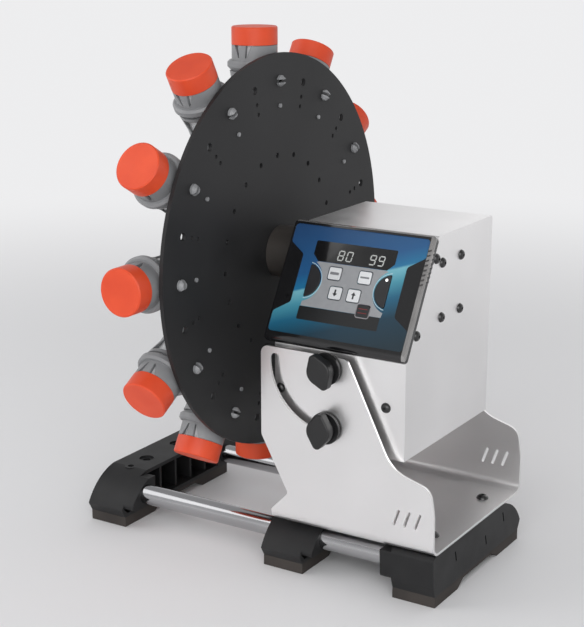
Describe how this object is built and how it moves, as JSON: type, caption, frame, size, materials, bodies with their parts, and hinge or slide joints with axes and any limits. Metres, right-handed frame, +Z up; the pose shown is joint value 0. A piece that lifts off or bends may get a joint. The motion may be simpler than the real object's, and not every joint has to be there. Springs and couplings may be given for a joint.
{
  "type": "tube rotator",
  "caption": "Bench tube rotator: an upright disc of radial clips for capped conical tubes, turned by a tilting motor head with a slanted console, in a bent sheet bracket on a footed rod base.",
  "frame": {"origin": "on the bench under the middle of the base", "axes": "+X from the disc to the housing's end face, +Z up, +Y away from the console side"},
  "size_m": [0.309, 0.3374, 0.3937],
  "materials": {
    "sheet_steel": "fine brushed",
    "rod_steel": "polished",
    "moulded_black": "fine texture",
    "pad_rubber": "matt",
    "black_screws": "blackened",
    "knob_plastic": "satin",
    "plain_steel": "turned",
    "washer_nylon": "satin",
    "hub_metal": "satin anodised",
    "bearing_bronze": "sintered",
    "plate_metal": "mill",
    "motor_case": "satin black",
    "board_green": "solder mask",
    "inlet_black": "satin",
    "bezel_gloss": "gloss black",
    "panel_blue": "printed film",
    "window_smoke": "smoked gloss",
    "key_white": "satin",
    "key_red": "satin",
    "key_black": "satin",
    "disc_black": "black anodised",
    "clip_grey": "satin",
    "tube_clear": "translucent",
    "cap_orange": "satin"
  },
  "bodies": {
    "base": {"bracket": "sheet_steel", "bracket_screws": "black_screws", "foot_left": "moulded_black", "foot_middle": "moulded_black", "foot_right": "moulded_black", "foot_pads": "pad_rubber", "rod_front": "rod_steel", "rod_rear": "rod_steel"},
    "head": {"housing": "sheet_steel", "chassis": "sheet_steel", "studs": "plain_steel", "washers": "washer_nylon", "housing_screws": "black_screws", "power_inlet": "inlet_black", "console_bezel": "bezel_gloss", "console_panel": "panel_blue", "console_window": "window_smoke", "shaft_bearing": "bearing_bronze", "motor_plate": "plate_metal", "gearbox": "plate_metal", "motor": "motor_case", "circuit_board": "board_green"},
    "disc": {"disc_plate": "disc_black", "hub": "hub_metal", "drive_shaft": "plain_steel", "hub_screws": "plain_steel", "tube_clips": "clip_grey"},
    "pivot_knob": {"pivot_knob": "knob_plastic"},
    "clamp_knob": {"clamp_knob": "knob_plastic"},
    "key_mode": {"key_mode": "key_white"},
    "key_timer": {"key_timer": "key_white"},
    "key_down": {"key_down": "key_white"},
    "key_up": {"key_up": "key_white"},
    "key_power": {"key_power": "key_red"},
    "key_stop": {"key_stop": "key_black"},
    "key_start": {"key_start": "key_black"},
    "tube_01": {"tube_01": "tube_clear", "cap_01": "cap_orange"},
    "tube_02": {"tube_02": "tube_clear", "cap_02": "cap_orange"},
    "tube_03": {"tube_03": "tube_clear", "cap_03": "cap_orange"},
    "tube_04": {"tube_04": "tube_clear", "cap_04": "cap_orange"},
    "tube_05": {"tube_05": "tube_clear", "cap_05": "cap_orange"},
    "tube_06": {"tube_06": "tube_clear", "cap_06": "cap_orange"},
    "tube_07": {"tube_07": "tube_clear", "cap_07": "cap_orange"},
    "tube_08": {"tube_08": "tube_clear", "cap_08": "cap_orange"},
    "tube_09": {"tube_09": "tube_clear", "cap_09": "cap_orange"},
    "tube_10": {"tube_10": "tube_clear", "cap_10": "cap_orange"},
    "tube_11": {"tube_11": "tube_clear", "cap_11": "cap_orange"},
    "tube_12": {"tube_12": "tube_clear", "cap_12": "cap_orange"}
  },
  "joints": [
    {"name": "head_tilt", "type": "hinge", "parent": "base", "child": "head", "pos_m": [0.0674, 0, 0.1645], "axis": [0, 1, 0], "range_deg": [0, 90]},
    {"name": "disc_spin", "type": "hinge", "parent": "head", "child": "disc", "pos_m": [-0.021, 0, 0.225], "axis": [1, 0, 0], "continuous": true},
    {"name": "pivot_knob_turn", "type": "hinge", "parent": "head", "child": "pivot_knob", "pos_m": [0.0674, -0.082, 0.1645], "axis": [0, -1, 0], "range_deg": [0, 360]},
    {"name": "clamp_knob_turn", "type": "hinge", "parent": "head", "child": "clamp_knob", "pos_m": [0.0674, -0.082, 0.1205], "axis": [0, -1, 0], "range_deg": [0, 360]},
    {"name": "key_mode_press", "type": "slide", "parent": "head", "child": "key_mode", "axis": [0, 0.8701, -0.4929], "range_m": [0, 0.0005], "stiffness_N_per_m": 2000, "springref_m": -0.00025},
    {"name": "key_timer_press", "type": "slide", "parent": "head", "child": "key_timer", "axis": [0, 0.8701, -0.4929], "range_m": [0, 0.0005], "stiffness_N_per_m": 2000, "springref_m": -0.00025},
    {"name": "key_down_press", "type": "slide", "parent": "head", "child": "key_down", "axis": [0, 0.8701, -0.4929], "range_m": [0, 0.0005], "stiffness_N_per_m": 2000, "springref_m": -0.00025},
    {"name": "key_up_press", "type": "slide", "parent": "head", "child": "key_up", "axis": [0, 0.8701, -0.4929], "range_m": [0, 0.0005], "stiffness_N_per_m": 2000, "springref_m": -0.00025},
    {"name": "key_power_press", "type": "slide", "parent": "head", "child": "key_power", "axis": [0, 0.8701, -0.4929], "range_m": [0, 0.0005], "stiffness_N_per_m": 2000, "springref_m": -0.00025},
    {"name": "key_stop_press", "type": "slide", "parent": "head", "child": "key_stop", "axis": [0, 0.8701, -0.4929], "range_m": [0, 0.0005], "stiffness_N_per_m": 2000, "springref_m": -0.00025},
    {"name": "key_start_press", "type": "slide", "parent": "head", "child": "key_start", "axis": [0, 0.8701, -0.4929], "range_m": [0, 0.0005], "stiffness_N_per_m": 2000, "springref_m": -0.00025},
    {"name": "tube_01_pull", "type": "slide", "parent": "disc", "child": "tube_01", "axis": [0, 0, 1], "range_m": [0, 0.115]},
    {"name": "tube_02_pull", "type": "slide", "parent": "disc", "child": "tube_02", "axis": [0, -0.5, 0.866], "range_m": [0, 0.115]},
    {"name": "tube_03_pull", "type": "slide", "parent": "disc", "child": "tube_03", "axis": [0, -0.866, 0.5], "range_m": [0, 0.115]},
    {"name": "tube_04_pull", "type": "slide", "parent": "disc", "child": "tube_04", "axis": [0, -1, 0], "range_m": [0, 0.115]},
    {"name": "tube_05_pull", "type": "slide", "parent": "disc", "child": "tube_05", "axis": [0, -0.866, -0.5], "range_m": [0, 0.115]},
    {"name": "tube_06_pull", "type": "slide", "parent": "disc", "child": "tube_06", "axis": [0, -0.5, -0.866], "range_m": [0, 0.115]},
    {"name": "tube_07_pull", "type": "slide", "parent": "disc", "child": "tube_07", "axis": [0, 0, -1], "range_m": [0, 0.115]},
    {"name": "tube_08_pull", "type": "slide", "parent": "disc", "child": "tube_08", "axis": [0, 0.5, -0.866], "range_m": [0, 0.115]},
    {"name": "tube_09_pull", "type": "slide", "parent": "disc", "child": "tube_09", "axis": [0, 0.866, -0.5], "range_m": [0, 0.115]},
    {"name": "tube_10_pull", "type": "slide", "parent": "disc", "child": "tube_10", "axis": [0, 1, 0], "range_m": [0, 0.115]},
    {"name": "tube_11_pull", "type": "slide", "parent": "disc", "child": "tube_11", "axis": [0, 0.866, 0.5], "range_m": [0, 0.115]},
    {"name": "tube_12_pull", "type": "slide", "parent": "disc", "child": "tube_12", "axis": [0, 0.5, 0.866], "range_m": [0, 0.115]}
  ]
}
